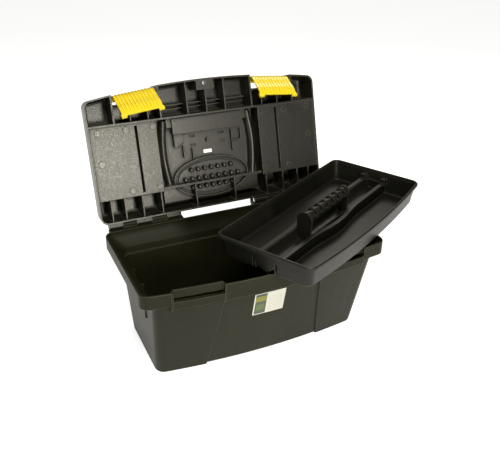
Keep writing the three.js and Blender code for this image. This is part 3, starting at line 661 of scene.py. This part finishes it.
def latch_rib_mesh(sizes):
    """One half-round rib that follows the latch's outer face."""
    shape = bmesh.new()
    height = sizes.latch_rib_height / MM
    half = LATCH_RIB_HALF
    shoulder = 0.7 * height
    root = -0.3  # below the face, so that the rib stands in it
    section = [(-half, root), (-half * 0.6, shoulder), (0, height), (half * 0.6, shoulder), (half, root)]
    rings = []
    for i, (y, z) in enumerate(LATCH_FACE):
        before = LATCH_FACE[max(i - 1, 0)]
        after = LATCH_FACE[min(i + 1, len(LATCH_FACE) - 1)]
        run = Vector((after[0] - before[0], after[1] - before[1])).normalized()
        out = Vector((run.y, -run.x))
        rings.append([
            shape.verts.new((x * MM, (y + out.x * h) * MM, (z + out.y * h) * MM)) for x, h in section])
    for here, there in zip(rings, rings[1:]):
        for k in range(len(section)):
            m = (k + 1) % len(section)
            shape.faces.new((here[k], here[m], there[m], there[k]))
    shape.faces.new(rings[0])
    shape.faces.new(list(reversed(rings[-1])))
    bmesh.ops.recalc_face_normals(shape, faces=shape.faces)
    mesh = bpy.data.meshes.new("latch rib")
    shape.to_mesh(mesh)
    shape.free()
    return mesh


# ---- operators ----------------------------------------------------------------------------------

def materials_of(context):
    """The object's materials, made once and shared by the operators."""
    colours = context.scene.toolbox_colours
    sizes = context.scene.toolbox_sizes
    wanted = {
        # the last colour of each is a pale wear colour, which the edges also take as a painted highlight
        "moulded polypropylene, body": lambda name: moulded_polypropylene(
            name, colours.body, sizes, 0.46, gloss=0.14, wear_and_highlight_colour=linear("#5c5c50")),
        "moulded polypropylene, lid": lambda name: moulded_polypropylene(
            name, colours.lid, sizes, 0.33, gloss=0.62, wear_and_highlight_colour=linear("#66665c")),
        "moulded polypropylene, tray": lambda name: moulded_polypropylene(
            name, colours.tray, sizes, 0.40, gloss=0.2, wear_and_highlight_colour=linear("#4c4c46")),
        "moulded polypropylene, latch": lambda name: moulded_polypropylene(
            name, colours.latch, sizes, 0.33, gloss=0.6, wear_and_highlight_colour=linear("#efdc5a"), mottle=1.04,
            grain_depth=0.02),
        # ejector marks: smooth spots of lower roughness, drawn paler as a painted sheen
        "moulded polypropylene, burnished": lambda name: moulded_polypropylene(
            name, scaled(colours.lid, 2.4), sizes, 0.29, gloss=0.62, wear_and_highlight_colour=linear("#66665c")),
    }
    for name, make in wanted.items():
        if name not in bpy.data.materials:
            make(name)
    return {name.rsplit(", ", maxsplit=1)[-1]: bpy.data.materials[name] for name in wanted}


class TOOLBOX_OT_stage(bpy.types.Operator):
    """Set up the camera, the pale floor and the softboxes"""

    bl_idname = "toolbox.stage"
    bl_label = "Stage"

    def execute(self, context):
        stage = context.scene.toolbox_stage
        place_camera(context.scene, stage)
        lay_floor(context.scene)
        light_room(context.scene, stage)
        return {"FINISHED"}


def place_camera(scene, stage):
    """The camera looks down at the box from its front left."""
    camera = bpy.data.objects.new("camera", bpy.data.cameras.new("camera"))
    scene.collection.objects.link(camera)
    yaw, pitch, roll = CAMERA_YAW, CAMERA_PITCH, CAMERA_ROLL
    forward = Vector((math.sin(yaw) * math.cos(pitch), math.cos(yaw) * math.cos(pitch), -math.sin(pitch)))
    level = Vector((math.cos(yaw), -math.sin(yaw), 0))
    upward = level.cross(forward)
    right = math.cos(roll) * level + math.sin(roll) * upward
    top = math.cos(roll) * upward - math.sin(roll) * level
    turn = Matrix((right, top, -forward)).transposed().to_4x4()
    camera.matrix_world = Matrix.Translation(CAMERA_SPOT) @ turn
    camera.data.sensor_width = 36
    camera.data.lens = stage.lens
    camera.data.clip_start = 0.02
    scene.camera = camera


def lay_floor(scene):
    """A wide level floor under the box."""
    mesh = bpy.data.meshes.new("floor")
    half = FLOOR_HALF
    corners = [(-half, -half, 0), (half, -half, 0), (half, half, 0), (-half, half, 0)]
    mesh.from_pydata(corners, [], [(0, 1, 2, 3)])
    floor = bpy.data.objects.new("floor", mesh)
    scene.collection.objects.link(floor)
    mesh.materials.append(pale_floor(scene.toolbox_colours.floor))
    floor.location.z = -0.0005


def softbox(scene, name, spot, aim, width, height, power):
    """A rectangular soft light that faces a point."""
    light = bpy.data.lights.new(name, "AREA")
    light.shape = "RECTANGLE"
    light.size = width
    light.size_y = height
    light.energy = power
    light.color = WARM_WHITE
    lamp = bpy.data.objects.new(name, light)
    scene.collection.objects.link(lamp)
    lamp.location = spot
    lamp.rotation_euler = (Vector(aim) - Vector(spot)).to_track_quat("-Z", "Y").to_euler()


def light_room(scene, stage):
    """A dim even room, a softbox low in front, one overhead and one behind."""
    world = bpy.data.worlds.new("studio")
    world.use_nodes = True
    world.node_tree.nodes["Background"].inputs["Color"].default_value = (1, 1, 1, 1)
    world.node_tree.nodes["Background"].inputs["Strength"].default_value = stage.sky
    scene.world = world
    softbox(scene, "front softbox", (0.12, -1.35, 0.50), (-0.17, 0.15, 0.27), 0.26, 0.36, stage.front_light)
    softbox(scene, "overhead softbox", (-0.25, -0.75, 1.5), (0, 0, 0.1), 0.5, 0.5, stage.top_light)
    softbox(scene, "rear softbox", (0.75, 0.95, 1.15), (0.1, -0.05, 0.15), 0.5, 0.5, stage.rear_light)
    scene.view_settings.view_transform = "Standard"


class TOOLBOX_OT_box(bpy.types.Operator):
    """Finish the box body, its sticker and its hinge pins"""

    bl_idname = "toolbox.box"
    bl_label = "Box"

    def execute(self, context):
        finish_node("box_body", materials_of(context)["body"], "box")
        finish_node("front_label", printed_paper(context.scene.toolbox_colours.sticker), "box")
        steel = drawn_steel_wire()
        for side in ("left", "right"):
            finish_node(f"hinge_pin_{side}", steel, "box")
            finish_node(f"latch_pin_{side}", steel, "lid")
            finish_node(f"carry_handle_pin_{side}", steel, "lid")
        return {"FINISHED"}


class TOOLBOX_OT_lid(bpy.types.Operator):
    """Finish the lid shell and add the moulded detail of its underside"""

    bl_idname = "toolbox.lid"
    bl_label = "Lid"

    def execute(self, context):
        sizes = context.scene.toolbox_sizes
        plastic = materials_of(context)["lid"]
        place = lid_place()
        finish_node("lid_shell", plastic, "lid")
        new_piece("lid_oval_pad", oval_pad_mesh(sizes, place), plastic, "lid")
        new_piece("lid_stiffeners", stiffener_mesh(place), plastic, "lid")
        peg_rows(sizes, row_tree(), plastic, place)
        # the ejector marks take a paler colour, a painted sheen on smooth spots
        burnished = materials_of(context)["burnished"]
        marks = ejector_mark_mesh(sizes, marks_tree(), burnished, place)
        new_piece("lid_ejector_marks", marks, burnished, "lid")
        return {"FINISHED"}


class TOOLBOX_OT_latches(bpy.types.Operator):
    """Finish the two latches and add their finger ribs"""

    bl_idname = "toolbox.latches"
    bl_label = "Latches"

    def execute(self, context):
        sizes = context.scene.toolbox_sizes
        plastic = materials_of(context)["latch"]
        tree = row_tree()
        start = -(sizes.latch_rib_count - 1) / 2 * sizes.latch_rib_pitch
        for side, name in ((-1, "latch_left"), (1, "latch_right")):
            finish_node(name, plastic, name)
            ribs = run_tree(tree, latch_rib_mesh(sizes), {
                "Count": sizes.latch_rib_count, "Start": (start, 0, 0),
                "Step": (sizes.latch_rib_pitch, 0, 0), "Material": plastic}, latch_place(side))
            new_piece(name + "_ribs", ribs, plastic, name)
        return {"FINISHED"}


class TOOLBOX_OT_lid_top(bpy.types.Operator):
    """Finish the carry handle and the covers of the parts bins"""

    bl_idname = "toolbox.lid_top"
    bl_label = "Handle and bin covers"

    def execute(self, context):
        plastic = materials_of(context)["lid"]
        finish_node("carry_handle", plastic, "carry_handle")
        for side in ("left", "right"):
            finish_node(f"bin_cover_{side}", plastic, f"bin_cover_{side}")
        return {"FINISHED"}


class TOOLBOX_OT_tray(bpy.types.Operator):
    """Finish the lift-out tray and its handle"""

    bl_idname = "toolbox.tray"
    bl_label = "Tray"

    def execute(self, context):
        plastic = materials_of(context)["tray"]
        finish_node("tray", plastic, "tray")
        finish_node("tray_handle", plastic, "tray")
        return {"FINISHED"}


OPERATORS = (
    TOOLBOX_OT_stage, TOOLBOX_OT_box, TOOLBOX_OT_lid, TOOLBOX_OT_latches, TOOLBOX_OT_lid_top, TOOLBOX_OT_tray)
GROUPS = {"toolbox_colours": ToolboxColours, "toolbox_sizes": ToolboxSizes, "toolbox_stage": ToolboxStage}


class TOOLBOX_PT_panel(bpy.types.Panel):
    """Lists the toolbox's pieces and settings"""

    bl_idname = "TOOLBOX_PT_panel"
    bl_label = "Toolbox With Tray"
    bl_space_type = "VIEW_3D"
    bl_region_type = "UI"
    bl_category = "Toolbox"

    def draw(self, context):
        for operator in OPERATORS:
            self.layout.operator(operator.bl_idname)
        for name, group in GROUPS.items():
            box = self.layout.box()
            for key in group.__annotations__:
                box.prop(getattr(context.scene, name), key)


def register():
    for group in GROUPS.values():
        bpy.utils.register_class(group)
    for operator in OPERATORS:
        bpy.utils.register_class(operator)
    bpy.utils.register_class(TOOLBOX_PT_panel)
    for name, group in GROUPS.items():
        setattr(bpy.types.Scene, name, PointerProperty(type=group))


def unregister():
    for name in GROUPS:
        delattr(bpy.types.Scene, name)
    bpy.utils.unregister_class(TOOLBOX_PT_panel)
    for operator in reversed(OPERATORS):
        bpy.utils.unregister_class(operator)
    for group in reversed(list(GROUPS.values())):
        bpy.utils.unregister_class(group)


def main():
    """Build every piece and the stage."""
    register()
    bpy.ops.toolbox.stage()
    bpy.ops.toolbox.box()
    bpy.ops.toolbox.lid()
    bpy.ops.toolbox.latches()
    bpy.ops.toolbox.lid_top()
    bpy.ops.toolbox.tray()


if __name__ == "__main__":
    main()
